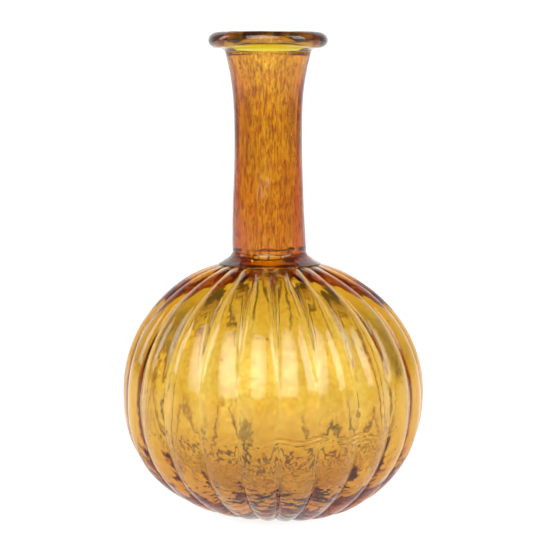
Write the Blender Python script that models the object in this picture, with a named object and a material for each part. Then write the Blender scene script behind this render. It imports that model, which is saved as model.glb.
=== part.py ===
"""Hand-blown glass bud vase: a ribbed bulb on a small base pad, a thick-walled neck and a rolled lip.

World axes: +Z up, origin on the resting plane under the centre of the bulb, -Y towards the front.
All sizes are in metres.
"""

import math

import bmesh
import bpy

# ---- driving dimensions ----
VASE_HEIGHT = 0.180        # resting plane to the top of the lip
BULB_RADIUS = 0.0562       # over the rib crests, at the widest height
EQUATOR_HEIGHT = 0.0455    # height of the widest ring of the bulb
SHOULDER_RISE = 0.0506     # from the widest ring to where the bulb's curve would close on the axis
LOWER_FULLNESS = 2.3       # superellipse power below the widest ring: over 2 is squarer than an ellipse
UPPER_FULLNESS = 2.05      # the same above it

FLANK_WALL = 0.0028        # glass thickness under a rib crest at the widest ring
FLOOR_WALL = 0.0050        # glass thickness of the bulb round the base pad
SHOULDER_WALL = 0.0042     # glass thickness of the bulb near the neck
BORE_RADIUS = 0.0071       # straight hole through the bulb's top, the collar and the lower neck

RIB_COUNT = 24
RIB_DEPTH = 0.0015         # crest to groove, across the wall
INNER_RIB_DEPTH = 0.0004   # the same ripple on the inside wall
GROOVE_SHARPNESS = 0.8     # 1 is a cusp like that between two arches, less is narrower
RIB_TURN = math.radians(2.0)   # turn of the first groove from the front
RIB_FADE = 0.013           # over this much radius the grooves die out towards the pad and the collar
FOOT_RIB_DEPTH = 0.0004    # what is left of the groove at the edge of the base pad
SEAT_RIB_DEPTH = 0.0002    # and at the collar's seat

PAD_RADIUS = 0.0162        # base pad
PONTIL_RADIUS = 0.0098     # ground hollow in the middle of its underside
PONTIL_DEPTH = 0.0012
KICK_UP = 0.0012           # how far the inside floor rises in the middle
FOOT_STEP = 0.00015        # the pad stands this much below the bulb's ribs

COLLAR_BEAD = 0.0052       # how far the soft ring round the neck's foot spreads over the shoulder
COLLAR_HEIGHT = 0.0044

NECK_FOOT_RADIUS = 0.0138
NECK_WAIST_RADIUS = 0.01255
NECK_TOP_RADIUS = 0.0158   # under the lip
NECK_TOP_BORE = 0.0115
WAIST_SHARE = 0.56         # where along the neck its narrowest ring is
FLARE_POWER = 2.8          # how late the neck opens towards the lip

LIP_RADIUS = 0.0222
LIP_HEIGHT = 0.0076        # from the neck's top to the top of the vase
BEAD_HALF_HEIGHT = 0.0027  # rolled edge of the lip
BEAD_HALF_WIDTH = 0.0034

NECK_LEAN = 0.0019         # sideways set of the neck, to -X, as the blower left it
LEAN_LENGTH = 0.075        # height over which the axis moves across, from the widest ring up

SEAM = 0.0003              # gap between two pieces of glass that meet
EDGE_ROUND = 0.0006        # rounding where a turned side meets a flat face

# ---- mesh fineness ----
STEPS_PER_RIB = 4
TURN_STEPS = 48
BULB_OUTER_ROWS = 18
BULB_INNER_ROWS = 14
NECK_ROWS = 14
LIP_ARC_STEPS = 5
COLLAR_ROWS = 7
PAD_ROWS = 5
EDGE_STEPS = 2


def smoothstep(t):
    t = min(max(t, 0.0), 1.0)
    return t * t * (3.0 - 2.0 * t)


def axis_shift(z):
    """Sideways place of the vase's centre line at a height."""
    return -NECK_LEAN * smoothstep((z - EQUATOR_HEIGHT) / LEAN_LENGTH)


def closing_share(radius, full_radius, power):
    """Height of a superellipse at a radius, as a share of its depth."""
    return (1.0 - (radius / full_radius) ** power) ** (1.0 / power)


# ---- places worked out from the sizes above ----
FOOT_OPENING = PAD_RADIUS + SEAM
COLLAR_RADIUS = NECK_FOOT_RADIUS + COLLAR_BEAD
LOWER_DEPTH = (EQUATOR_HEIGHT - FOOT_STEP) / closing_share(FOOT_OPENING, BULB_RADIUS, LOWER_FULLNESS)
SEAT_HEIGHT = EQUATOR_HEIGHT + SHOULDER_RISE * closing_share(COLLAR_RADIUS, BULB_RADIUS, UPPER_FULLNESS)
COLLAR_BOTTOM = SEAT_HEIGHT + SEAM
NECK_BOTTOM = COLLAR_BOTTOM + COLLAR_HEIGHT + SEAM
LIP_BOTTOM = VASE_HEIGHT - LIP_HEIGHT
NECK_TOP = LIP_BOTTOM - SEAM
INNER_RADIUS = BULB_RADIUS - FLANK_WALL
INNER_LOWER_DEPTH = LOWER_DEPTH - FLOOR_WALL
INNER_RISE = SHOULDER_RISE - SHOULDER_WALL


def meridian(radius, depth, power, start_radius, rows, upward):
    """Points of a superellipse from start_radius out to the widest ring: (r, z, normal r, normal z)."""
    start = math.acos((start_radius / radius) ** (power / 2.0))
    sign = 1.0 if upward else -1.0
    points = []
    for row in range(rows + 1):
        angle = start * (1.0 - row / rows)
        r = radius * math.cos(angle) ** (2.0 / power)
        rise = depth * math.sin(angle) ** (2.0 / power)
        slope_r = (r / radius) ** (power - 1.0) / radius
        slope_z = (rise / depth) ** (power - 1.0) / depth
        length = math.hypot(slope_r, slope_z)
        points.append((r, EQUATOR_HEIGHT + sign * rise, slope_r / length, sign * slope_z / length))
    return points


def groove(turn):
    """0 on a rib's crest, 1 in the groove between two ribs."""
    return 1.0 - abs(math.sin(RIB_COUNT * (turn - RIB_TURN) / 2.0)) ** GROOVE_SHARPNESS


def glass(name, colour, roughness):
    material = bpy.data.materials.new(name)
    material.use_nodes = True
    shader = material.node_tree.nodes["Principled BSDF"]
    shader.inputs["Base Color"].default_value = (*colour, 1.0)
    shader.inputs["Roughness"].default_value = roughness
    shader.inputs["Metallic"].default_value = 0.0
    shader.inputs["Transmission Weight"].default_value = 1.0
    shader.inputs["IOR"].default_value = 1.5
    return material


def skin_between(bm, first, second):
    """Quads between two rings of vertices."""
    count = len(first)
    for i in range(count):
        j = (i + 1) % count
        bm.faces.new((first[i], first[j], second[j], second[i]))


def finish(name, bm, material):
    bmesh.ops.recalc_face_normals(bm, faces=bm.faces)
    mesh = bpy.data.meshes.new(name)
    bm.to_mesh(mesh)
    bm.free()
    mesh.shade_smooth()
    mesh.set_sharp_from_angle(angle=math.radians(40.0))
    mesh.materials.append(material)
    piece = bpy.data.objects.new(name, mesh)
    bpy.context.scene.collection.objects.link(piece)
    return piece


def turned_ring(bm, steps, place):
    """One ring of vertices; place(turn) gives radius and height. Turn 0 is the front, -Y."""
    ring = []
    for i in range(steps):
        turn = 2.0 * math.pi * i / steps
        r, z = place(turn)
        ring.append(bm.verts.new((r * math.sin(turn) + axis_shift(z), -r * math.cos(turn), z)))
    return ring


def turned_tube(name, outline, steps, material):
    """A piece with a hole through it: a closed outline of (r, z) points turned about the centre line."""
    bm = bmesh.new()
    rings = []
    for r, z in outline:
        rings.append(turned_ring(bm, steps, lambda turn, r=r, z=z: (r, z)))
    for first, second in zip(rings, rings[1:] + rings[:1]):
        skin_between(bm, first, second)
    return finish(name, bm, material)


def make_bulb():
    outer = meridian(BULB_RADIUS, LOWER_DEPTH, LOWER_FULLNESS, FOOT_OPENING, BULB_OUTER_ROWS // 2, False)
    above = meridian(BULB_RADIUS, SHOULDER_RISE, UPPER_FULLNESS, COLLAR_RADIUS, BULB_OUTER_ROWS // 2, True)
    outer += above[-2::-1]
    inner = meridian(INNER_RADIUS, INNER_RISE, UPPER_FULLNESS, BORE_RADIUS, BULB_INNER_ROWS // 2, True)
    floor_rows = BULB_INNER_ROWS // 2
    below = meridian(INNER_RADIUS, INNER_LOWER_DEPTH, LOWER_FULLNESS, FOOT_OPENING, floor_rows, False)
    inner += below[-2::-1]

    bm = bmesh.new()
    steps = RIB_COUNT * STEPS_PER_RIB
    rings = []
    for skin, full_depth, foot_depth, seat_depth in (
        (outer, RIB_DEPTH, FOOT_RIB_DEPTH, SEAT_RIB_DEPTH),
        (inner, INNER_RIB_DEPTH, 0.0, 0.0),
    ):
        for r, z, normal_r, normal_z in skin:
            end_radius = COLLAR_RADIUS if normal_z > 0 else FOOT_OPENING
            end_depth = seat_depth if normal_z > 0 else foot_depth
            fade = smoothstep((r - end_radius) / RIB_FADE)
            depth = end_depth + (full_depth - end_depth) * fade

            def place(turn, r=r, z=z, normal_r=normal_r, normal_z=normal_z, depth=depth):
                cut = depth * groove(turn)
                return r - normal_r * cut, z - normal_z * cut

            rings.append(turned_ring(bm, steps, place))
        if skin is outer:
            # The seat under the collar is flat, and the hole through it is straight.
            rings.append(turned_ring(bm, steps, lambda turn: (COLLAR_RADIUS - EDGE_ROUND, SEAT_HEIGHT)))
            rings.append(turned_ring(bm, steps, lambda turn: (BORE_RADIUS, SEAT_HEIGHT)))
    for first, second in zip(rings, rings[1:] + rings[:1]):
        skin_between(bm, first, second)
    return finish("ribbed_bulb", bm, glass("bulb_glass", (0.80, 0.60, 0.22), 0.05))


def inner_floor(r):
    """Height of the inside floor at a radius."""
    bowl = EQUATOR_HEIGHT - INNER_LOWER_DEPTH * closing_share(r, INNER_RADIUS, LOWER_FULLNESS)
    return bowl + KICK_UP * (1.0 - smoothstep(r / PAD_RADIUS))


def make_base_pad():
    outline = []
    for row in range(1, PAD_ROWS + 1):
        r = PAD_RADIUS * row / PAD_ROWS
        outline.append((r, inner_floor(r)))
    for step in range(EDGE_STEPS + 1):
        angle = 0.5 * math.pi * step / EDGE_STEPS
        drop = EDGE_ROUND * math.sin(angle)
        outline.append((PAD_RADIUS - EDGE_ROUND * (1.0 - math.cos(angle)), EDGE_ROUND - drop))
    for row in range(PAD_ROWS):
        share = 1.0 - row / PAD_ROWS
        outline.append((PONTIL_RADIUS * share, PONTIL_DEPTH * (1.0 - share * share)))

    bm = bmesh.new()
    rings = [turned_ring(bm, TURN_STEPS, lambda turn, r=r, z=z: (r, z)) for r, z in outline]
    for first, second in zip(rings, rings[1:]):
        skin_between(bm, first, second)
    for ring, height in ((rings[0], inner_floor(0.0)), (rings[-1], PONTIL_DEPTH)):
        middle = bm.verts.new((axis_shift(height), 0.0, height))
        for i in range(TURN_STEPS):
            bm.faces.new((ring[i], ring[(i + 1) % TURN_STEPS], middle))
    return finish("base_pad", bm, glass("base_glass", (0.70, 0.44, 0.12), 0.08))


def make_collar():
    outline = [(BORE_RADIUS, COLLAR_BOTTOM)]
    outline.append((COLLAR_RADIUS - EDGE_ROUND, COLLAR_BOTTOM))
    top = COLLAR_BOTTOM + COLLAR_HEIGHT
    for row in range(COLLAR_ROWS + 1):
        share = row / COLLAR_ROWS
        r = COLLAR_RADIUS + (NECK_FOOT_RADIUS - COLLAR_RADIUS) * smoothstep(share)
        outline.append((r, COLLAR_BOTTOM + EDGE_ROUND + (COLLAR_HEIGHT - EDGE_ROUND) * share))
    outline.append((BORE_RADIUS, top))
    return turned_tube("neck_collar", outline, TURN_STEPS, glass("collar_glass", (0.66, 0.34, 0.06), 0.06))


def neck_radius(share):
    """Outside radius of the neck at a share of its length."""
    if share < WAIST_SHARE:
        taper = 1.0 - smoothstep(share / WAIST_SHARE)
        return NECK_WAIST_RADIUS + (NECK_FOOT_RADIUS - NECK_WAIST_RADIUS) * taper
    flare = ((share - WAIST_SHARE) / (1.0 - WAIST_SHARE)) ** FLARE_POWER
    return NECK_WAIST_RADIUS + (NECK_TOP_RADIUS - NECK_WAIST_RADIUS) * flare


def neck_bore(share):
    """Radius of the hole in the neck at a share of its length."""
    flare = max(0.0, (share - WAIST_SHARE) / (1.0 - WAIST_SHARE)) ** FLARE_POWER
    return BORE_RADIUS + (NECK_TOP_BORE - BORE_RADIUS) * flare


def make_neck():
    length = NECK_TOP - NECK_BOTTOM
    shares = [row / NECK_ROWS for row in range(NECK_ROWS + 1)]
    outline = [(neck_radius(share), NECK_BOTTOM + share * length) for share in shares]
    outline += [(neck_bore(share), NECK_BOTTOM + share * length) for share in reversed(shares)]
    return turned_tube("neck_tube", outline, TURN_STEPS, glass("neck_glass", (0.74, 0.42, 0.05), 0.05))


def quarter_curve(inside, outside, bottom, top):
    """From (inside, bottom), leaving upwards, to (outside, top), arriving outwards; both ends included."""
    points = []
    for step in range(LIP_ARC_STEPS + 1):
        angle = 0.5 * math.pi * step / LIP_ARC_STEPS
        r = outside - (outside - inside) * math.cos(angle)
        points.append((r, bottom + (top - bottom) * math.sin(angle)))
    return points


def make_lip():
    bead_radius = LIP_RADIUS - BEAD_HALF_WIDTH
    bead_height = VASE_HEIGHT - BEAD_HALF_HEIGHT
    outline = quarter_curve(NECK_TOP_RADIUS, bead_radius, LIP_BOTTOM, bead_height - BEAD_HALF_HEIGHT)
    for step in range(1, 2 * LIP_ARC_STEPS):
        angle = math.pi * (step / (2 * LIP_ARC_STEPS) - 0.5)
        r = bead_radius + BEAD_HALF_WIDTH * math.cos(angle)
        outline.append((r, bead_height + BEAD_HALF_HEIGHT * math.sin(angle)))
    outline += quarter_curve(NECK_TOP_BORE, bead_radius, LIP_BOTTOM, VASE_HEIGHT)[::-1]
    return turned_tube("rolled_lip", outline, TURN_STEPS, glass("lip_glass", (0.78, 0.55, 0.20), 0.04))


for old in list(bpy.data.objects):
    bpy.data.objects.remove(old)

vase = bpy.data.objects.new("vase", None)
bpy.context.scene.collection.objects.link(vase)
for piece in (make_bulb(), make_base_pad(), make_collar(), make_neck(), make_lip()):
    piece.parent = vase
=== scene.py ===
# %% [markdown]
# # A hand-blown glass bud vase
# The vase is five elements of amber glass that a glassblower fuses while they are hot: a ribbed bulb, a
# thick pad under it, a low collar at the foot of the neck, the neck itself and a rolled lip. The packed
# model fixes every size and place. Here each element is built again as a fine, slightly uneven skin of
# glass, because clear glass shows every facet of a coarse mesh.

# %% Load the frame
import math
import random

import bpy
import numpy as np
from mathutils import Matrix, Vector, noise


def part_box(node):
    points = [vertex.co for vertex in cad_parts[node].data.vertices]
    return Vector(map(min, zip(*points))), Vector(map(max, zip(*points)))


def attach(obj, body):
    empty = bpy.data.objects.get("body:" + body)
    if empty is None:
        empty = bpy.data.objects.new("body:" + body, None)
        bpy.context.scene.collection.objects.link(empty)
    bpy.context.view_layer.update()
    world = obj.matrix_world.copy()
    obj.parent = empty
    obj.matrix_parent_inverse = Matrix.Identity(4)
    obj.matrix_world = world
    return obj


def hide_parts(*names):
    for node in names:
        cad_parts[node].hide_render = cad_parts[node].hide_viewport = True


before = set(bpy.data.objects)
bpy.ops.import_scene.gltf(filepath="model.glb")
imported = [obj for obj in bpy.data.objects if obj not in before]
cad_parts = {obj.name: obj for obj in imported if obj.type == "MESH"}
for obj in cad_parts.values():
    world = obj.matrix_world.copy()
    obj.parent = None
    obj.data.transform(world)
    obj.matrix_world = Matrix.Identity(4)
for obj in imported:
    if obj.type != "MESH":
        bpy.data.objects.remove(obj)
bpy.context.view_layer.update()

MM = 0.001
print("nodes:", ", ".join(sorted(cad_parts)))

# %% [markdown]
# ## The camera
# The camera could stand level with the vase, but then the mouth would be a flat line. It stands half a
# metre away and a little under the lip, and looks slightly down, so that the lip opens into a thin oval.

# %% Camera
AIM = Vector((0.00063, 0.0, 0.0891))
CAMERA_DISTANCE = 0.5162
CAMERA_TILT = math.radians(6.11)
LENS = 90.2

camera_data = bpy.data.cameras.new("camera")
camera_data.lens = LENS
camera_data.sensor_width = 36.0
camera_data.clip_start = 0.01
camera_data.clip_end = 20.0
camera = bpy.data.objects.new("camera", camera_data)
back = Vector((0.0, -math.cos(CAMERA_TILT), math.sin(CAMERA_TILT)))
camera.location = AIM + CAMERA_DISTANCE * back
camera.rotation_euler = (math.pi / 2 - CAMERA_TILT, 0.0, 0.0)
bpy.context.scene.collection.objects.link(camera)
bpy.context.scene.camera = camera
print("camera stands at", [round(c, 4) for c in camera.location])

# %% [markdown]
# ## Writing a material as arithmetic
# A pattern in a material is arithmetic on numbers that vary over the surface. We could add each Math node
# and link by hand. Wrapping a socket in a small class lets Python's own operators add them, so a recipe
# reads like a formula.


# %% A socket that knows arithmetic
class Strand:
    """One socket of a material's node tree. Adding or multiplying strands adds the Math nodes."""

    def __init__(self, tree, socket=None):
        self.tree = tree
        self.socket = socket

    def node(self, kind, settings=None, sockets=None, out=0):
        """Adds any node: settings first, then a value or a strand for each named or numbered socket."""
        made = self.tree.nodes.new(kind)
        for name, setting in (settings or {}).items():
            setattr(made, name, setting)
        for name, value in (sockets or {}).items():
            if isinstance(value, Strand):
                self.tree.links.new(value.socket, made.inputs[name])
            else:
                made.inputs[name].default_value = value
        return Strand(self.tree, made.outputs[out])

    def maths(self, operation, *terms):
        return self.node("ShaderNodeMath", {"operation": operation}, dict(enumerate(terms)))

    def __add__(self, other):
        return self.maths("ADD", self, other)

    def __radd__(self, other):
        return self.maths("ADD", other, self)

    def __sub__(self, other):
        return self.maths("SUBTRACT", self, other)

    def __rsub__(self, other):
        return self.maths("SUBTRACT", other, self)

    def __mul__(self, other):
        return self.maths("MULTIPLY", self, other)

    def __rmul__(self, other):
        return self.maths("MULTIPLY", other, self)

    def rise(self, low, high):
        """0 up to low, 1 from high on, and a smooth rise between them."""
        sockets = {"Value": self, "From Min": low, "From Max": high}
        return self.node("ShaderNodeMapRange", {"interpolation_type": "SMOOTHSTEP"}, sockets)

    def stretch(self, *scales):
        """A place scaled by its own number of grains per metre along each axis."""
        return self.node("ShaderNodeVectorMath", {"operation": "MULTIPLY"}, {0: self, 1: scales})

    def grain(self, detail):
        """Noise from 0 to 1, one grain per unit of the place it is given; detail adds finer grains."""
        return self.node("ShaderNodeTexNoise", None, {"Vector": self, "Scale": 1.0, "Detail": detail})

    def blend(self, first, second):
        """first where this strand is 0, second where it is 1; both are colours."""
        sockets = {0: self, 6: (*first, 1.0), 7: (*second, 1.0)}
        return self.node("ShaderNodeMix", {"data_type": "RGBA"}, sockets, out=2)

    def times(self, other):
        """One colour filtered by another."""
        return self.node("ShaderNodeVectorMath", {"operation": "MULTIPLY"}, {0: self, 1: other})


def start_material(name):
    """A new material, its Principled shader and a strand to build on."""
    material = bpy.data.materials.new(name)
    material.use_nodes = True
    shader = material.node_tree.nodes["Principled BSDF"]
    return material, shader, Strand(material.node_tree)


def feed(strand, socket):
    strand.tree.links.new(strand.socket, socket)


# %% [markdown]
# ## The room
# Clear glass has hardly any look of its own: it shows the room, bent and tinted. A bright wall behind gives
# the glow, and darker walls at the sides give the dark edges that let us read its shape. We could light
# separate panels, but one turned sheet of paper, floor and wall in one sweep, has no edge that would show
# in the glass. It glows by itself: most behind the vase, less at its sides and in front, and a little less
# on the floor just under the vase, where its own shade would lie.

# %% The paper sweep
SWEEP_RADIUS = 1.5
SWEEP_HEIGHT = 1.7
SWEEP_BEND = 0.45              # radius of the bend between floor and wall
BEND_STEPS = 12
SWEEP_SIDES = 96
BEHIND_GLOW = 1.06
SIDE_GLOW = 0.27
WALL_FADE = (0.6, 1.46)        # along Y, from the glow at the sides to the glow behind
FLOOR_GLOW = 1.04
FRONT_SHARE = 0.60             # what the floor in front keeps of its glow
FLOOR_FADE = (-1.0, -0.05)     # along Y, from that share to the full glow
SHADE_GLOW = 0.84
SHADE_FADE = (0.012, 0.036)    # distance from the vase's middle, from shade to open floor
BEND_FADE = (0.0, 0.15)        # height, from the floor's glow to the wall's
PAPER_GREY = 0.12
BLUE_SHARE = 0.995             # the paper is a trace warmer than white


def paper():
    material, shader, strand = start_material("sweep_paper")
    place = strand.node("ShaderNodeNewGeometry", out="Position")
    along = strand.node("ShaderNodeSeparateXYZ", None, {0: place}, out="Y")
    height = Strand(strand.tree, along.socket.node.outputs["Z"])
    away = place.node("ShaderNodeVectorMath", {"operation": "LENGTH"}, {0: place}, out="Value")
    wall = SIDE_GLOW + (BEHIND_GLOW - SIDE_GLOW) * along.rise(*WALL_FADE)
    floor = SHADE_GLOW + (FLOOR_GLOW - SHADE_GLOW) * away.rise(*SHADE_FADE)
    floor = floor * (FRONT_SHARE + (1.0 - FRONT_SHARE) * along.rise(*FLOOR_FADE))
    lift = height.rise(*BEND_FADE)
    glow = floor * (1.0 - lift) + wall * lift
    shader.inputs["Base Color"].default_value = (PAPER_GREY, PAPER_GREY, PAPER_GREY, 1.0)
    shader.inputs["Roughness"].default_value = 0.9
    shader.inputs["Specular IOR Level"].default_value = 0.1
    shader.inputs["Emission Strength"].default_value = 1.0
    grey = strand.node("ShaderNodeCombineXYZ", None, {0: glow, 1: glow, 2: glow * BLUE_SHARE})
    feed(grey, shader.inputs["Emission Color"])
    return material


def make_sweep():
    outline = [(0.0, 0.0), (SWEEP_RADIUS - SWEEP_BEND, 0.0)]
    for step in range(1, BEND_STEPS + 1):
        angle = 0.5 * math.pi * step / BEND_STEPS
        out = SWEEP_RADIUS - SWEEP_BEND + SWEEP_BEND * math.sin(angle)
        outline.append((out, SWEEP_BEND * (1.0 - math.cos(angle))))
    outline.append((SWEEP_RADIUS, SWEEP_HEIGHT))
    points = [(0.0, 0.0, 0.0)]
    for r, z in outline[1:]:
        for side in range(SWEEP_SIDES):
            turn = 2.0 * math.pi * side / SWEEP_SIDES
            points.append((r * math.cos(turn), r * math.sin(turn), z))
    faces = []
    for side in range(SWEEP_SIDES):
        after = (side + 1) % SWEEP_SIDES
        faces.append((0, 1 + side, 1 + after))
        for ring in range(len(outline) - 2):
            low, high = 1 + ring * SWEEP_SIDES, 1 + (ring + 1) * SWEEP_SIDES
            faces.append((low + side, high + side, high + after, low + after))
    mesh = bpy.data.meshes.new("sweep")
    mesh.from_pydata(points, [], faces)
    mesh.shade_smooth()
    mesh.materials.append(paper())
    sweep = bpy.data.objects.new("sweep", mesh)
    bpy.context.scene.collection.objects.link(sweep)
    print("sweep:", len(faces), "faces")


make_sweep()

# %% [markdown]
# ## The lamps
# Three soft boxes hang round the vase. The large one, above and in front, is the window that each rib
# mirrors as a pale upright streak. A box's power is worked out from the brightness we want on its face,
# because that, and not its power, is what a mirror image shows. A box could shine alike to all sides, but
# its mirror image would then end in a hard edge, so its light goes mostly straight ahead.

# %% Soft boxes
BOX_SPREAD = math.radians(84.0)   # the fan of directions that a box shines in
BOX_AIM = Vector((0.0, 0.0, 80.0 * MM))


def soft_box(name, turn, climb, distance, width, height, brightness):
    """A rectangle of light aimed at the vase. turn is degrees to the right of the front, climb upwards.

    brightness is what its face would have if it shone alike to all sides.
    """
    data = bpy.data.lights.new(name, "AREA")
    data.shape = "RECTANGLE"
    data.size = width
    data.size_y = height
    data.energy = brightness * math.pi * width * height
    data.spread = BOX_SPREAD
    lamp = bpy.data.objects.new(name, data)
    turn, climb = math.radians(turn), math.radians(climb)
    out = Vector((math.sin(turn) * math.cos(climb), -math.cos(turn) * math.cos(climb), math.sin(climb)))
    lamp.location = BOX_AIM + distance * out
    lamp.rotation_euler = (-out).to_track_quat("-Z", "Y").to_euler()
    lamp.visible_camera = False
    bpy.context.scene.collection.objects.link(lamp)
    print(name, "gives", round(data.energy, 2), "W")


soft_box("window_box", -12.0, 34.0, 1.05, 1.10, 1.15, 1.3)
soft_box("right_box", 62.0, 30.0, 1.05, 0.50, 0.90, 1.1)
soft_box("left_box", -98.0, 25.0, 1.10, 0.30, 0.70, 0.8)

# %% [markdown]
# The rest of the room could be black, but then the darkest mirror images would look like holes, so it is a
# dim grey. Light crosses many skins of glass on its way to the eye. Each one costs a bounce, and with the
# usual number of bounces the middle of the bulb would turn black.

# %% Dim room and many bounces
ROOM_GREY = (0.15, 0.148, 0.145)
GLASS_BOUNCES = 28

world = bpy.data.worlds.new("room")
world.use_nodes = True
world.node_tree.nodes["Background"].inputs["Color"].default_value = (*ROOM_GREY, 1.0)
scene = bpy.context.scene
scene.world = world
scene.view_settings.view_transform = "Standard"
scene.view_settings.look = "None"
scene.cycles.max_bounces = GLASS_BOUNCES
scene.cycles.transmission_bounces = GLASS_BOUNCES
scene.cycles.glossy_bounces = 8
scene.cycles.caustics_reflective = True
scene.cycles.caustics_refractive = True
scene.cycles.blur_glossy = 0.3
print("light bounces up to", GLASS_BOUNCES, "times")

# %% [markdown]
# ## Sizes
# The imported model's boxes give the outside sizes. A box says nothing of what is inside, so the walls and
# the hole follow the values that the model was designed with. The shoulder's wall and the ribs differ from
# them by a few tenths of a millimetre, because clear glass shows what the model has no need of.

# %% Sizes from the frame
BULB_LOW, BULB_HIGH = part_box("ribbed_bulb")
PAD_LOW, PAD_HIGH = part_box("base_pad")
COLLAR_LOW, COLLAR_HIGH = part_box("neck_collar")
NECK_LOW, NECK_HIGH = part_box("neck_tube")
LIP_LOW, LIP_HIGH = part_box("rolled_lip")


def half_width(low, high):
    return (high[1] - low[1]) / 2


SEAT_HEIGHT = BULB_HIGH[2]
COLLAR_RADIUS = half_width(COLLAR_LOW, COLLAR_HIGH)
PAD_RADIUS = half_width(PAD_LOW, PAD_HIGH)
NECK_TOP_RADIUS = half_width(NECK_LOW, NECK_HIGH)
LIP_RADIUS = half_width(LIP_LOW, LIP_HIGH)
VASE_HEIGHT = LIP_HIGH[2]
HAIR = 0.02 * MM              # the elements meet with a gap too thin to see

BULB_RADIUS = 56.2 * MM
EQUATOR_HEIGHT = 45.5 * MM    # the bulb's widest ring
SHOULDER_RISE = 50.6 * MM     # from there to where its curve would close on the axis
LOWER_FULLNESS = 2.3          # superellipse powers under and over that ring
UPPER_FULLNESS = 2.05
FLANK_WALL = 2.8 * MM
FLOOR_WALL = 5.0 * MM
SHOULDER_WALL = 3.7 * MM
BORE_RADIUS = 7.1 * MM
NECK_LEAN = 1.9 * MM          # the neck was set a little to the left
LEAN_LENGTH = 75.0 * MM
NEAR_BORE = BORE_RADIUS + 0.2 * MM     # a row of points this close keeps the hole's edge crisp
SEAT_MIDDLE = 11.0 * MM                # a row halfway across the seat under the collar
print("pad", PAD_RADIUS, "collar", COLLAR_RADIUS, "neck", NECK_TOP_RADIUS, "lip", LIP_RADIUS)


def smoothstep(t):
    t = np.clip(t, 0.0, 1.0)
    return t * t * (3.0 - 2.0 * t)


def axis_shift(z):
    """Sideways place of the vase's centre line at a height."""
    return -NECK_LEAN * smoothstep((z - EQUATOR_HEIGHT) / LEAN_LENGTH)


def closing_share(radius, full_radius, power):
    """Height of a superellipse at a radius, as a share of its depth."""
    return (1.0 - (radius / full_radius) ** power) ** (1.0 / power)


# %% [markdown]
# ## Turning glass
# A blower's work is turned, so every element is a closed outline in the plane of radius and height, swept
# round the centre line. A Screw modifier would do that for a perfect form. Here each point is also pushed
# along the outline's own normal by a function, which is how the ribs and the unevenness get in, so the
# sweep is done in numpy.


# %% The lathe
def turn_outline(outline, turns, push, drift=None):
    """Points, shape (rows, columns, 3), of an outline of (r, z) turned round the centre line.

    The outline runs with the glass on its left. push(turns, row, r, z) moves a row's points out of the
    glass, along the outline's normal, and drift(turns, z) moves them round.
    """
    outline = np.asarray(outline, float)
    ahead = np.roll(outline, -1, axis=0) - np.roll(outline, 1, axis=0)
    normal = np.stack([ahead[:, 1], -ahead[:, 0]], axis=1)
    normal /= np.maximum(np.linalg.norm(normal, axis=1, keepdims=True), 1e-12)
    points = np.empty((len(outline), len(turns), 3))
    for row, ((r, z), (out_r, out_z)) in enumerate(zip(outline, normal)):
        shift = push(turns, row, r, z)
        angle = turns if drift is None else turns + drift(turns, z)
        radius = r + out_r * shift
        height = z + out_z * shift
        points[row, :, 0] = radius * np.sin(angle) + axis_shift(height)
        points[row, :, 1] = -radius * np.cos(angle)
        points[row, :, 2] = height
    return points


def ring_faces(rows, columns, closed):
    """Quads between neighbouring rows; closed also joins the last row to the first."""
    row = np.arange(rows if closed else rows - 1)[:, None]
    column = np.arange(columns)[None, :]
    low, high = row * columns, (row + 1) % rows * columns
    after = (column + 1) % columns
    quads = np.stack([low + column, low + after, high + after, high + column], axis=-1)
    return quads.reshape(-1, 4).tolist()


def even_turns(columns):
    return np.linspace(0.0, 2.0 * math.pi, columns, endpoint=False)


def waves(points, size, seed):
    """Smooth noise, about -1 to 1, at each point; size is the width of a wave in metres."""
    shift = Vector((seed * 7.3, seed * 3.1, seed * 5.7))
    return np.array([noise.noise(Vector(point) / size + shift) for point in points])


def uneven(points, *layers):
    """Layers of waves added up, in metres. A layer is (depth in mm, width of a wave in mm, seed)."""
    return MM * sum(depth * waves(points, width * MM, seed) for depth, width, seed in layers)


def round_points(turns, r, z):
    """Where a row's points lie before anything moves them, for noise to be read at."""
    return np.stack([r * np.sin(turns), -r * np.cos(turns), np.full(len(turns), z)], axis=1)


# %% [markdown]
# ## Seeds
# Seeds are the small bubbles that stay in hand-blown glass. A dark dot in the material could stand for one,
# but a real bubble bends what is behind it and has a bright middle and a dark rim. So each seed is a true
# hollow: a small closed egg inside the wall with its faces turned inwards.

# %% Egg-shaped hollows
EGG_SIDES = 8
EGG_RINGS = 4


def egg_shape():
    points = [(0.0, 0.0, -1.0)]
    for ring in range(EGG_RINGS):
        angle = math.pi * ((ring + 1) / (EGG_RINGS + 1) - 0.5)
        for side in range(EGG_SIDES):
            turn = 2.0 * math.pi * side / EGG_SIDES
            across = math.cos(angle)
            points.append((across * math.cos(turn), across * math.sin(turn), math.sin(angle)))
    points.append((0.0, 0.0, 1.0))
    faces = []
    top = len(points) - 1
    for side in range(EGG_SIDES):
        after = (side + 1) % EGG_SIDES
        faces.append((0, 1 + side, 1 + after))
        faces.append((top, top - EGG_SIDES + after, top - EGG_SIDES + side))
        for ring in range(EGG_RINGS - 1):
            low, high = 1 + ring * EGG_SIDES, 1 + (ring + 1) * EGG_SIDES
            faces.append((low + side, high + side, high + after, low + after))
    return np.array(points), faces


EGG_POINTS, EGG_FACES = egg_shape()


def add_seeds(points, faces, seeds):
    """Adds a hollow for each seed (centre, long axis, half width, half length)."""
    for centre, axis, half, length in seeds:
        turned = Vector(axis).to_track_quat("Z", "X").to_matrix()
        frame_of_egg = np.array(turned) * np.array([half, half, length])
        start = len(points)
        points = np.vstack([points, EGG_POINTS @ frame_of_egg.T + np.array(centre)])
        faces += [tuple(start + corner for corner in face) for face in EGG_FACES]
    return points, faces


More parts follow.
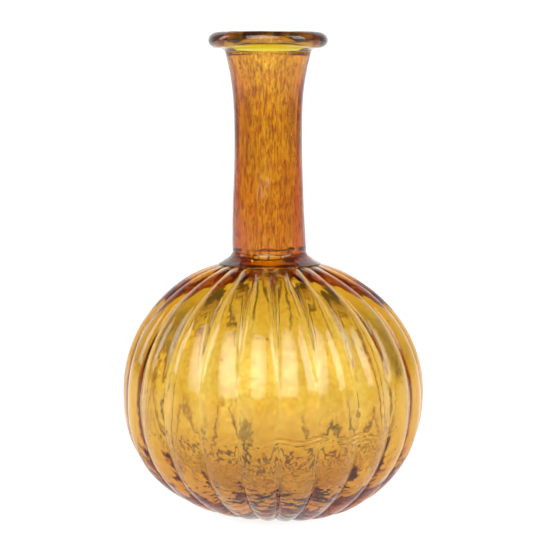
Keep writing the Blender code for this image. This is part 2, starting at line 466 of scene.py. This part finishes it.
def make_piece(name, points, faces, material, node):
    mesh = bpy.data.meshes.new(name)
    mesh.from_pydata(points, [], faces)
    mesh.shade_smooth()
    mesh.materials.append(material)
    piece = bpy.data.objects.new(name, mesh)
    bpy.context.scene.collection.objects.link(piece)
    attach(piece, "root")
    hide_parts(node)
    print(name, "has", len(mesh.vertices), "points and", len(mesh.polygons), "faces")


# %% [markdown]
# ## Amber glass
# The colour of glass is in its depth, not on its surface: a thin wall is straw and a thick one is brown. A
# coloured surface can't do that. A volume that absorbs some blue, less green and a little red for each
# metre does, and gives the dark outline and the deep neck by itself. The surface adds what the tools and
# the hot mould left: a fine ripple with faint streaks, and an even slight haze that keeps the mirror images
# soft.

# %% The glass recipe
THIN_AMBER = (44.0, 118.0, 480.0)     # red, green and blue absorbed per metre
DEEP_AMBER = (30.0, 106.0, 700.0)
LIP_AMBER = (46.0, 88.0, 540.0)
EVEN_GRAIN = (330.0, 330.0, 330.0)    # ripples per metre along x, y and z
HAZE = 0.08
GLASS_IOR = 1.5
CLEAR = (1.0, 1.0, 1.0)
STREAK_EDGE = (0.50, 0.62)            # where in the ripple's 0 to 1 a streak begins and is full
BROAD_SHARE = 0.3                     # the broad ripple has this many grains to one of the fine ripple's


def amber_glass(name, absorbed, grains, ripple, streak, curl_height=0.0, hammered=0.0):
    """absorbed is red, green and blue per metre; grains is how many ripples per metre along x, y and z.

    ripple is the height of the fine ripple in metres and streak the tint of its high side. hammered is how
    many times deeper the ripple gets towards the foot of the bulb, where a painted shade also browns the
    glass, and curl_height is how high curls stand; each curl also gets a painted brown shade.
    """
    material, shader, strand = start_material(name)
    place = strand.node("ShaderNodeTexCoord", out="Object")
    fine = place.stretch(*grains).grain(1.0)
    broad = place.stretch(*(g * BROAD_SHARE for g in grains)).grain(0.0)
    height = fine * 0.5 + broad
    tint = fine.rise(*STREAK_EDGE).blend(CLEAR, streak)
    if hammered:
        height, tint = add_hammering_and_shade(place, height, tint, hammered)
    if curl_height:
        height, tint = add_curls_and_shade(place, height, tint, grains, curl_height / ripple)
    bump = strand.node("ShaderNodeBump", None, {"Strength": 1.0, "Distance": ripple, "Height": height})
    feed(bump, shader.inputs["Normal"])
    feed(tint, shader.inputs["Base Color"])
    shader.inputs["Roughness"].default_value = HAZE
    shader.inputs["Transmission Weight"].default_value = 1.0
    shader.inputs["IOR"].default_value = GLASS_IOR
    density = max(absorbed)
    absorb = strand.node("ShaderNodeVolumeAbsorption")
    inputs = absorb.socket.node.inputs
    inputs["Color"].default_value = (*(1.0 - share / density for share in absorbed), 1.0)
    inputs["Density"].default_value = density
    feed(absorb, strand.tree.nodes["Material Output"].inputs["Volume"])
    print(name, "absorbs red, green and blue at", absorbed, "per metre")
    return material


# %% [markdown]
# The bulb gets rougher towards its foot, where the mould was coldest, and short curled folds lie all over
# it. Its foot is also tinted browner, a painted shade for the dimmer floor seen through it, and each fold
# gets a painted brown shade along its line. Random dots could stand for the folds, but a noise passes
# through its middle value along curled lines. So we keep a thin band round that value, and a second noise
# breaks the lines up.

# %% Marks of the mould, and painted shade
HAMMERED_LEVELS = (16.0 * MM, 44.0 * MM)   # full under the first height, gone over the second
# painted shade: the foot of the bulb is browned to stand in for the dimmer floor seen through it
LOW_PAINTED_SHADE = (0.91, 0.81, 0.58)
CURLS_PER_METRE = (150.0, 150.0, 225.0)
CURL_EDGE = (0.86, 0.97)                   # how near the noise's middle value a curl begins and is full
BREAK_SHARE = 0.9                          # grains of the second noise to one of the fine ripple's
BREAK_EDGE = (0.44, 0.55)                  # where in the second noise's 0 to 1 a curl begins and is full
# painted shade: brown laid along each fold, where its relief would look dark
CURL_PAINTED_SHADE = (0.72, 0.50, 0.24)


def add_hammering_and_shade(place, height, tint, depth):
    level = place.node("ShaderNodeSeparateXYZ", None, {0: place}, out="Z")
    low_down = 1.0 - level.rise(*HAMMERED_LEVELS)
    # the deeper ripple low down is relief; the browner tint there is painted shade
    return height * (1.0 + depth * low_down), low_down.blend(CLEAR, LOW_PAINTED_SHADE).times(tint)


def add_curls_and_shade(place, height, tint, grains, depth):
    fold = place.stretch(*CURLS_PER_METRE).grain(1.0)
    line = (1.0 - (fold - 0.5).maths("ABSOLUTE") * 2.0).rise(*CURL_EDGE)
    broken = line * place.stretch(*(g * BREAK_SHARE for g in grains)).grain(0.0).rise(*BREAK_EDGE)
    # the fold's height is relief; its brown tint is painted shade
    return height + broken * depth, broken.blend(CLEAR, CURL_PAINTED_SHADE).times(tint)


# %% [markdown]
# ## The bulb
# The bulb is blown in a ribbed mould and then blown out again. Near its shoulder and foot the 24 grooves
# stay as sharp as the mould left them, with a narrow cut along the bottom. At the widest ring, where the
# glass stretched most, they are rounder, and no two are quite alike. A coarse even mesh would round them all
# off, so the columns crowd together there. The wall is thin at the widest ring and thick at the shoulder
# and floor.

# %% Rib shape
RIB_COUNT = 24
RIB_DEPTH = 1.6 * MM
RIB_TURN = math.radians(2.0)
RIB_FADE = 13.0 * MM          # over this much radius the grooves die out towards the pad and the collar
FOOT_RIB_DEPTH = 0.4 * MM
SEAT_RIB_DEPTH = 0.2 * MM
INNER_RIB_DEPTH = 0.4 * MM
CUT_DEPTH = 0.5 * MM
CUT_SHARE = 0.06              # the narrow cut's half width, as a share of a rib's width
STRETCH_REACH = 30.0 * MM     # this far from the widest ring the grooves are as the mould left them
ROUND_SHARE = 0.5             # how much of a groove's shape is round at the widest ring
ROUND_DEPTH = 0.85            # a round groove's depth, as a share of a sharp one's
COLUMNS_PER_RIB = 16
CROWDING = 2.1                # 1 would space the columns evenly
FOOT_OPENING = PAD_RADIUS + HAIR
RIB_MOODS = np.random.default_rng(24).uniform(0.75, 1.2, RIB_COUNT)


def rib_turns():
    """Turns of the columns, crowded on both sides of each groove."""
    share = np.arange(COLUMNS_PER_RIB) / COLUMNS_PER_RIB
    near = np.minimum(share, 1.0 - share)
    offset = 0.5 * (2.0 * near) ** CROWDING
    offset = np.where(share > 0.5, 1.0 - offset, offset)
    ribs = np.arange(RIB_COUNT)[:, None] + offset[None, :]
    return RIB_TURN + ribs.reshape(-1) * 2.0 * math.pi / RIB_COUNT


def stretched(z):
    """1 at the widest ring, where blowing out has rounded the grooves, and 0 towards shoulder and foot."""
    return 1.0 - smoothstep(abs(z - EQUATOR_HEIGHT) / STRETCH_REACH)


def groove(turns, z=0.0):
    """0 on a rib's crest and about 1 in the groove between two ribs."""
    phase = RIB_COUNT * (turns - RIB_TURN) / (2.0 * math.pi)
    mood = RIB_MOODS[np.rint(phase).astype(int) % RIB_COUNT]
    sharp = 1.0 - np.abs(np.sin(math.pi * phase))
    rounded = 0.5 + 0.5 * np.cos(2.0 * math.pi * phase)
    return mood * (sharp + (ROUND_DEPTH * rounded - sharp) * ROUND_SHARE * stretched(z))


def narrow_cut(turns, z):
    """1 at the bottom of a groove, and nothing at the widest ring."""
    phase = RIB_COUNT * (turns - RIB_TURN) / (2.0 * math.pi)
    beside = (phase - np.rint(phase)) / CUT_SHARE
    return (1.0 - stretched(z)) * np.exp(-beside ** 2)


SPACING_DRIFT = math.radians(3.2)
WANDER = math.radians(0.45)


def rib_drift(turns, z):
    """The ribs are spaced a little unevenly, and wander a little on their way up."""
    wander = np.sin(2.0 * turns + 1.0 + z / (31.0 * MM)) + 0.6 * np.sin(5.0 * turns - z / (17.0 * MM))
    return SPACING_DRIFT * np.sin(turns) ** 3 + WANDER * wander


print("column spacing in a groove:", round((rib_turns()[1] - rib_turns()[0]) * BULB_RADIUS / MM, 2), "mm")


# %% Bulb outline
def meridian(radius, depth, power, start_radius, rows, sign, extra=()):
    """Points (r, z) of a superellipse from start_radius out to the widest ring.

    sign is 1 over that ring and -1 under it. Each height in extra gets a row of its own.
    """
    start = math.acos((start_radius / radius) ** (power / 2.0))
    angles = set(start * (1.0 - np.arange(rows + 1) / rows))
    for height in extra:
        angles.add(math.asin((abs(height - EQUATOR_HEIGHT) / depth) ** (power / 2.0)))
    angle = np.array(sorted(angles, reverse=True))
    r = radius * np.cos(angle) ** (2.0 / power)
    z = EQUATOR_HEIGHT + sign * depth * np.sin(angle) ** (2.0 / power)
    return list(zip(r, z))


FOOT_STEP = BULB_LOW[2]
LOWER_DEPTH = (EQUATOR_HEIGHT - FOOT_STEP) / closing_share(FOOT_OPENING, BULB_RADIUS, LOWER_FULLNESS)
INNER_RADIUS = BULB_RADIUS - FLANK_WALL
INNER_DEPTH = LOWER_DEPTH - FLOOR_WALL
print("bulb's floor at", round((EQUATOR_HEIGHT - INNER_DEPTH) / MM, 2), "mm")

# %% [markdown]
# Near the widest ring a wavy double line runs part of the way round. It is a chill mark: the glass that
# touched the cold edge of the mould first set in a fold. It is a pair of low ridges in the outer skin, with
# rows of the outline set close together so that they show.

# %% Chill mark
CHILL_HEIGHT = 38.0 * MM
CHILL_ROWS = [CHILL_HEIGHT + step * 0.3 * MM for step in range(-12, 9)]
CHILL_RIDGES = ((0.0, 0.42, 0.16), (-1.7, 0.40, 0.12))   # place, half width and height of each, in mm
CHILL_FROM, CHILL_GROWTH = -8.0, 8.0                     # degrees round from the front
CHILL_TO, CHILL_DECAY = 40.0, 12.0
CHILL_FAINT = 0.15                                       # how much of it is left on the rest of the ring


def chill_mark(turns, z):
    turn = np.degrees((turns + math.pi) % (2.0 * math.pi) - math.pi)
    shown = smoothstep((turn - CHILL_FROM) / CHILL_GROWTH)
    shown *= 1.0 - smoothstep((turn - CHILL_TO) / CHILL_DECAY)
    middle = CHILL_HEIGHT + 0.55 * MM * np.sin(RIB_COUNT * turns + 0.6) + 0.4 * MM * np.sin(7.0 * turns)
    ridges = np.zeros(len(turns))
    for place, half, height in CHILL_RIDGES:
        ridges += height * MM * np.exp(-((z - middle - place * MM) / (half * MM)) ** 2)
    return (CHILL_FAINT + (1.0 - CHILL_FAINT) * shown) * ridges


# %% Bulb skin
SAG_TURN = math.radians(62.0)
SAG_DEPTH = 1.3 * MM
SAG_HEIGHT = 19.0 * MM
SAG_EDGE = 6.0 * MM
HAMMERED_HEIGHT = 16.0 * MM
HAMMERED_FADE = 26.0 * MM
SKIN_RISE = 0.22 * MM             # lifts the outer skin, so that its dips don't make the bulb smaller
OUTER_WAVES = ((0.20, 25.0, 1), (0.03, 8.0, 2))
OUTER_HAMMERING = (0.055, 3.6, 3)
INNER_WAVES = ((0.24, 23.0, 4), (0.03, 8.0, 5))
INNER_HAMMERING = (0.07, 4.2, 6)


def hammering(z):
    """1 low on the bulb, where the mould was coldest, and 0 over the widest ring."""
    return 1.0 - smoothstep((z - HAMMERED_HEIGHT) / HAMMERED_FADE)


def foot_sag(turns, r, z):
    """Low on the right the soft bulb sank a little on the marver, and its underside is fuller there."""
    side = np.clip(np.cos(turns - SAG_TURN), 0.0, 1.0) ** 2
    free = smoothstep((r - FOOT_OPENING) / SAG_EDGE)
    return SAG_DEPTH * side * free * (1.0 - smoothstep(z / SAG_HEIGHT))


def bulb_push(outer_rows, inner_start):
    def push(turns, row, r, z):
        over = z > EQUATOR_HEIGHT
        spots = round_points(turns, r, z)
        if row < outer_rows:
            end = COLLAR_RADIUS if over else FOOT_OPENING
            last = SEAT_RIB_DEPTH if over else FOOT_RIB_DEPTH
            free = smoothstep((r - end) / RIB_FADE)
            cut = (last + (RIB_DEPTH - last) * free) * groove(turns, z)
            cut += CUT_DEPTH * free * narrow_cut(turns, z)
            skin = SKIN_RISE + uneven(spots, *OUTER_WAVES) + hammering(z) * uneven(spots, OUTER_HAMMERING)
            return free * (skin + chill_mark(turns, z)) + foot_sag(turns, r, z) - cut
        if row >= inner_start:
            end = BORE_RADIUS if over else FOOT_OPENING
            free = smoothstep((r - end) / end)
            skin = uneven(spots, *INNER_WAVES) + hammering(z) * uneven(spots, INNER_HAMMERING)
            ripple = 0.5 + 0.5 * np.cos(RIB_COUNT * (turns - RIB_TURN))
            return free * (skin + INNER_RIB_DEPTH * ripple)
        return np.zeros(len(turns))

    return push


# %% Seeds in the bulb
BULB_SEEDS = 190
BULB_SEED_SIZES = (0.14, 0.18, 0.22, 0.3, 0.42)   # half widths in mm
LOW_SEED_SHARE = 0.6
SEED_COVER = 0.3 * MM                             # least glass over a seed
SEED_PLACE = 0.42                                 # how deep in the wall a small seed lies


def bulb_seeds(count):
    """Seeds in the middle of the wall, under the crests of the ribs, more of them low down."""
    draw = random.Random(7)
    seeds = []
    while len(seeds) < count:
        turn = draw.uniform(0.0, 2.0 * math.pi)
        low_down = draw.random() < LOW_SEED_SHARE
        start = draw.uniform(0.05, 1.1)
        depth = LOWER_DEPTH if low_down else SHOULDER_RISE
        power = LOWER_FULLNESS if low_down else UPPER_FULLNESS
        end_wall = FLOOR_WALL if low_down else SHOULDER_WALL
        wall = FLANK_WALL + (end_wall - FLANK_WALL) * math.sin(start) ** 2
        half = draw.choice(BULB_SEED_SIZES) * MM
        inset = max(SEED_PLACE * wall, half + SEED_COVER)
        # a seed beside a groove, or too wide for its wall, is drawn again
        if groove(np.array([turn]))[0] > 0.25 or half > 0.2 * wall:
            continue
        r = (BULB_RADIUS - inset) * math.cos(start) ** (2.0 / power)
        rise = (depth - inset) * math.sin(start) ** (2.0 / power)
        z = EQUATOR_HEIGHT + (-rise if low_down else rise)
        angle = turn + float(rib_drift(turn, z))
        centre = (r * math.sin(angle) + axis_shift(z), -r * math.cos(angle), z)
        lean = math.atan2(rise / depth, r / BULB_RADIUS) * (1.0 if low_down else -1.0)
        along = (math.sin(lean) * math.sin(angle), -math.sin(lean) * math.cos(angle), math.cos(lean))
        seeds.append((centre, along, half, half * draw.uniform(1.0, 1.9)))
    return seeds


# %% Make the bulb
OUTER_ROWS = 52, 50           # rows under and over the widest ring
INNER_ROWS = 38, 36


def make_bulb():
    outer = meridian(BULB_RADIUS, LOWER_DEPTH, LOWER_FULLNESS, FOOT_OPENING, OUTER_ROWS[0], -1, CHILL_ROWS)
    outer += meridian(BULB_RADIUS, SHOULDER_RISE, UPPER_FULLNESS, COLLAR_RADIUS, OUTER_ROWS[1], 1)[-2::-1]
    edge = [COLLAR_RADIUS - 0.15 * MM, COLLAR_RADIUS - 0.5 * MM]
    seat = [(r, SEAT_HEIGHT) for r in edge + [SEAT_MIDDLE, NEAR_BORE, BORE_RADIUS]]
    rise = SHOULDER_RISE - SHOULDER_WALL
    inner = meridian(INNER_RADIUS, rise, UPPER_FULLNESS, BORE_RADIUS, INNER_ROWS[1], 1)
    inner += meridian(INNER_RADIUS, INNER_DEPTH, LOWER_FULLNESS, FOOT_OPENING, INNER_ROWS[0], -1)[-2::-1]
    outline = outer + seat + inner
    turns = rib_turns()
    push = bulb_push(len(outer), len(outer) + len(seat))
    points = turn_outline(outline, turns, push, rib_drift).reshape(-1, 3)
    faces = ring_faces(len(outline), len(turns), True)
    points, faces = add_seeds(points, faces, bulb_seeds(BULB_SEEDS))
    streak = (0.94, 0.87, 0.72)
    glass = amber_glass("bulb_amber", THIN_AMBER, EVEN_GRAIN, 0.11 * MM, streak, 0.06 * MM, 5.0)
    make_piece("glass_bulb", points, faces, glass, "ribbed_bulb")


make_bulb()

# %% [markdown]
# ## The base pad
# A gather of glass is pressed on under the bulb to carry the pontil iron. When the iron is cracked off, the
# scar is ground to a shallow hollow, and the vase stands on the ring round it.

# %% Pad outline
PONTIL_RADIUS = 9.8 * MM
PONTIL_DEPTH = 1.2 * MM
KICK_UP = 1.2 * MM            # the floor inside rises this much towards its middle
EDGE_ROUND = 0.6 * MM
EDGE_STEPS = 6
PIN_HOLE = 0.6 * MM           # the outline stops this far from the centre line, and a fan of faces fills it


def inner_floor(r):
    bowl = EQUATOR_HEIGHT - INNER_DEPTH * closing_share(r, INNER_RADIUS, LOWER_FULLNESS)
    return bowl + KICK_UP * (1.0 - smoothstep(r / PAD_RADIUS))


def under_pad():
    """Points (r, z) of the hollow, the ring that the vase stands on, the rounded edge and the side."""
    outline = []
    for share in np.linspace(0.04, 1.0, 22):
        outline.append((PONTIL_RADIUS * share, PONTIL_DEPTH * (1.0 - share * share)))
    for r in np.linspace(PONTIL_RADIUS, PAD_RADIUS - EDGE_ROUND, 8)[1:-1]:
        outline.append((r, 0.0))
    for step in range(EDGE_STEPS + 1):
        angle = 0.5 * math.pi * step / EDGE_STEPS
        r = PAD_RADIUS - EDGE_ROUND * (1.0 - math.sin(angle))
        outline.append((r, EDGE_ROUND * (1.0 - math.cos(angle))))
    top = float(inner_floor(PAD_RADIUS))
    return outline + [(PAD_RADIUS, z) for z in np.linspace(EDGE_ROUND, top, 6)[1:-1]]


print("pad is", round(float(inner_floor(PIN_HOLE)) / MM, 2), "mm high in the middle")


# %% Pad skin and seeds
PAD_COLUMNS = 160
PAD_SEEDS = 26
PAD_WAVES = ((0.25, 5.0, 11), (0.1, 2.4, 12))
SCAR_DEPTH = 0.12 * MM        # the ground hollow is rougher towards its middle
SCAR_WIDTH = 2.6 * MM


def pad_push(top_start):
    def push(turns, row, r, z):
        spots = round_points(turns, r, z)
        if row > top_start:
            return uneven(spots, *PAD_WAVES)
        if r < PONTIL_RADIUS * 0.98:
            return -SCAR_DEPTH * (1.0 + waves(spots, SCAR_WIDTH, 13)) * (1.0 - r / PONTIL_RADIUS)
        return np.zeros(len(turns))

    return push


def pad_seeds(count):
    draw = random.Random(3)
    seeds = []
    for _ in range(count):
        turn, r = draw.uniform(0.0, 2.0 * math.pi), draw.uniform(2.0, 14.0) * MM
        centre = (r * math.sin(turn), -r * math.cos(turn), draw.uniform(2.4, 3.8) * MM)
        half = draw.uniform(0.15, 0.4) * MM
        seeds.append((centre, (0.0, 0.0, 1.0), half, half))
    return seeds


def close_ends(rings, faces):
    """Adds a middle point and a fan of faces to the first and the last ring of a turned piece."""
    rows, count = rings.shape[:2]
    points = np.vstack([rings.reshape(-1, 3), rings[0].mean(axis=0), rings[-1].mean(axis=0)])
    under, over, last = rows * count, rows * count + 1, (rows - 1) * count
    for side in range(count):
        after = (side + 1) % count
        faces.append((under, after, side))
        faces.append((over, last + side, last + after))
    return points, faces


# %% Make the pad
def make_pad():
    outline = under_pad()
    top_start = len(outline)
    outline += [(r, float(inner_floor(r))) for r in np.linspace(PAD_RADIUS, PIN_HOLE, 30)]
    turns = even_turns(PAD_COLUMNS)
    rings = turn_outline(outline, turns, pad_push(top_start))
    points, faces = close_ends(rings, ring_faces(len(outline), len(turns), False))
    points, faces = add_seeds(points, faces, pad_seeds(PAD_SEEDS))
    grains = (420.0, 420.0, 420.0)
    glass = amber_glass("base_amber", THIN_AMBER, grains, 0.3 * MM, (0.84, 0.66, 0.42))
    make_piece("glass_pad", points, faces, glass, "base_pad")


make_pad()

# %% [markdown]
# ## The collar
# Where the neck's gather was stuck to the shoulder it left a low soft bead, with a crease under it. A torus
# would be too even and too round, so the bead is an outline that sweeps in steeply from its edge, turned
# like the rest.

# %% Collar
NECK_FOOT_RADIUS = 13.8 * MM
COLLAR_EDGE = 0.3 * MM
COLLAR_SWEEP = 1.7            # 1 would make the bead a plain cone
COLLAR_COLUMNS = 192
COLLAR_WAVES = ((0.25, 9.0, 21), (0.1, 3.0, 22))
COLLAR_STILL = 12.5 * MM      # the hole and the seats inside this radius stay even


def collar_push(low):
    def push(turns, row, r, z):
        free = smoothstep((r - COLLAR_STILL) / (2.0 * MM)) * smoothstep((z - low) / (1.0 * MM))
        return free * uneven(round_points(turns, r, z), *COLLAR_WAVES)

    return push


def make_collar():
    low, high = SEAT_HEIGHT + HAIR, COLLAR_HIGH[2]
    outline = [(r, low) for r in (BORE_RADIUS, NEAR_BORE, SEAT_MIDDLE, COLLAR_RADIUS - COLLAR_EDGE)]
    for share in np.linspace(0.0, 1.0, 28):
        r = NECK_FOOT_RADIUS + (COLLAR_RADIUS - NECK_FOOT_RADIUS) * (1.0 - share) ** COLLAR_SWEEP
        outline.append((r, low + COLLAR_EDGE + (high - low - COLLAR_EDGE) * share))
    outline += [(r, high) for r in (12.0 * MM, NEAR_BORE, BORE_RADIUS)]
    outline += [(BORE_RADIUS, high - (high - low) * step / 5) for step in range(1, 5)]
    turns = even_turns(COLLAR_COLUMNS)
    points = turn_outline(outline, turns, collar_push(low)).reshape(-1, 3)
    faces = ring_faces(len(outline), len(turns), True)
    glass = amber_glass("collar_amber", THIN_AMBER, EVEN_GRAIN, 0.12 * MM, (0.98, 0.9, 0.75))
    make_piece("glass_collar", points, faces, glass, "neck_collar")


make_collar()

# %% [markdown]
# ## The neck
# The neck is drawn out of a thick gather, so everything in it is stretched upright: the seeds become
# needles, and streaks of slightly different glass, which blowers call cords, run along it. The cords bend
# light like long thin lenses. They could be painted on, but as ripples in the wall of the hole they move
# as you walk round the vase.

# %% Neck shape
NECK_WAIST_RADIUS = 12.55 * MM
NECK_TOP_BORE = 11.5 * MM
WAIST_SHARE = 0.56            # the waist's place, as a share of the neck's height
FLARE_POWER = 2.8
NECK_BOTTOM = COLLAR_HIGH[2] + HAIR
NECK_TOP = LIP_LOW[2] - HAIR


def flare(share):
    """0 up to the waist, then ever faster to 1 at the top."""
    return np.clip((share - WAIST_SHARE) / (1.0 - WAIST_SHARE), 0.0, 1.0) ** FLARE_POWER


def neck_radius(share):
    taper = 1.0 - smoothstep(share / WAIST_SHARE)
    foot = (NECK_FOOT_RADIUS - NECK_WAIST_RADIUS) * taper
    return NECK_WAIST_RADIUS + foot + (NECK_TOP_RADIUS - NECK_WAIST_RADIUS) * flare(share)


def neck_bore(share):
    return BORE_RADIUS + (NECK_TOP_BORE - BORE_RADIUS) * flare(share)


print("neck's wall at the waist:", round((NECK_WAIST_RADIUS - BORE_RADIUS) / MM, 2), "mm")


# %% Tilt of the mouth
MOUTH_TILT = math.tan(math.radians(2.5))
TILT_START = 150.0 * MM


def tilt_mouth(points):
    """The mouth isn't quite level: it is lower in front, as the jacks left it."""
    share = smoothstep((points[:, 2] - TILT_START) / (LIP_LOW[2] - TILT_START))
    points[:, 2] -= share * MOUTH_TILT * (LIP_RADIUS - points[:, 1])
    return points


# %% Seeds and cords in the neck
NECK_SEEDS = 520
NECK_COLUMNS = 288
NECK_ROWS = 110
NECK_END = 3.0 * MM           # the unevenness dies out over this much at both ends
DRAWN_OUT = np.array([1.0, 1.0, 0.14])             # waves are about seven times as long along the neck
NECK_WAVES, NECK_STREAKS = (0.14, 19.0, 31), (0.03, 2.2, 32)
BORE_WAVES, CORDS = (0.2, 14.0, 35), ((0.42, 3.6, 33), (0.16, 1.7, 34))


def neck_seeds(count):
    draw = random.Random(19)
    seeds = []
    for _ in range(count):
        share = draw.uniform(0.04, 0.96)
        low, high = float(neck_bore(share)) + 0.7 * MM, float(neck_radius(share)) - 0.6 * MM
        r = draw.uniform(low, high)
        turn = draw.uniform(0.0, 2.0 * math.pi)
        z = NECK_BOTTOM + share * (NECK_TOP - NECK_BOTTOM)
        half = draw.uniform(0.09, 0.26) * MM
        length = min(draw.uniform(0.6, 2.2) * MM, 0.9 * (NECK_TOP - z), 0.9 * (z - NECK_BOTTOM))
        centre = (r * math.sin(turn) + axis_shift(z), -r * math.cos(turn), z)
        seeds.append((centre, (0.02 * draw.uniform(-1, 1), 0.0, 1.0), half, length))
    return seeds


def neck_push(outer_rows):
    def push(turns, row, r, z):
        free = smoothstep((z - NECK_BOTTOM) / NECK_END) * smoothstep((NECK_TOP - z) / NECK_END)
        spots = round_points(turns, r, z)
        if row < outer_rows:
            return free * (uneven(spots, NECK_WAVES) + uneven(spots * DRAWN_OUT, NECK_STREAKS))
        return free * (uneven(spots, BORE_WAVES) + uneven(spots * DRAWN_OUT, *CORDS))

    return push


# %% Make the neck
def make_neck():
    share = np.linspace(0.0, 1.0, NECK_ROWS)
    heights = NECK_BOTTOM + share * (NECK_TOP - NECK_BOTTOM)
    outline = list(zip(neck_radius(share), heights)) + list(zip(neck_bore(share), heights))[::-1]
    turns = even_turns(NECK_COLUMNS)
    points = turn_outline(outline, turns, neck_push(NECK_ROWS)).reshape(-1, 3)
    faces = ring_faces(len(outline), len(turns), True)
    points, faces = add_seeds(points, faces, neck_seeds(NECK_SEEDS))
    grains = (1200.0, 1200.0, 220.0)
    glass = amber_glass("neck_amber", DEEP_AMBER, grains, 0.16 * MM, (0.62, 0.38, 0.15))
    make_piece("glass_neck", tilt_mouth(points), faces, glass, "neck_tube")


make_neck()

# %% [markdown]
# ## The lip
# The mouth is opened with jacks, which flares it, and its edge is folded over and fire polished into a
# round bead. Its glass is thinner along the line of sight, so it looks paler than the neck.

# %% Lip
BEAD_HALF_HEIGHT = 3.05 * MM
BEAD_HALF_WIDTH = 3.4 * MM
BEAD_STEPS = 32
FLARE_STEPS = 18
LIP_COLUMNS = 224
LIP_FOOT = 2.0 * MM           # the unevenness begins over this much above the neck
LIP_SINK = 0.1 * MM           # lowers the skin, so that its swells don't make the lip larger
LIP_WAVES = ((0.16, 12.0, 41), (0.05, 4.0, 42))


def quarter_curve(inside, outside, bottom, top):
    """From (inside, bottom), leaving upwards, to (outside, top), arriving outwards."""
    angle = 0.5 * math.pi * np.arange(FLARE_STEPS + 1) / FLARE_STEPS
    return list(zip(outside - (outside - inside) * np.cos(angle), bottom + (top - bottom) * np.sin(angle)))


def lip_outline(low):
    """Up the flare's outside, round the bead, down the flare's inside and back along the seat."""
    bead_radius, bead_height = LIP_RADIUS - BEAD_HALF_WIDTH, VASE_HEIGHT - BEAD_HALF_HEIGHT
    outline = quarter_curve(NECK_TOP_RADIUS, bead_radius, low, bead_height - BEAD_HALF_HEIGHT)
    for step in range(1, BEAD_STEPS):
        angle = math.pi * (step / BEAD_STEPS - 0.5)
        r = bead_radius + BEAD_HALF_WIDTH * math.cos(angle)
        outline.append((r, bead_height + BEAD_HALF_HEIGHT * math.sin(angle)))
    outline += quarter_curve(NECK_TOP_BORE, bead_radius, low, VASE_HEIGHT)[::-1]
    return outline + [(r, low) for r in np.linspace(NECK_TOP_BORE, NECK_TOP_RADIUS, 6)[1:-1]]


def lip_push(turns, row, r, z):
    free = smoothstep((z - LIP_LOW[2]) / LIP_FOOT)
    return free * (uneven(round_points(turns, r, z), *LIP_WAVES) - LIP_SINK)


# %% Make the lip
def make_lip():
    outline = lip_outline(LIP_LOW[2])
    turns = even_turns(LIP_COLUMNS)
    points = turn_outline(outline, turns, lip_push).reshape(-1, 3)
    faces = ring_faces(len(outline), len(turns), True)
    glass = amber_glass("lip_amber", LIP_AMBER, EVEN_GRAIN, 0.12 * MM, (1.0, 0.93, 0.8))
    make_piece("glass_lip", tilt_mouth(points), faces, glass, "rolled_lip")


make_lip()
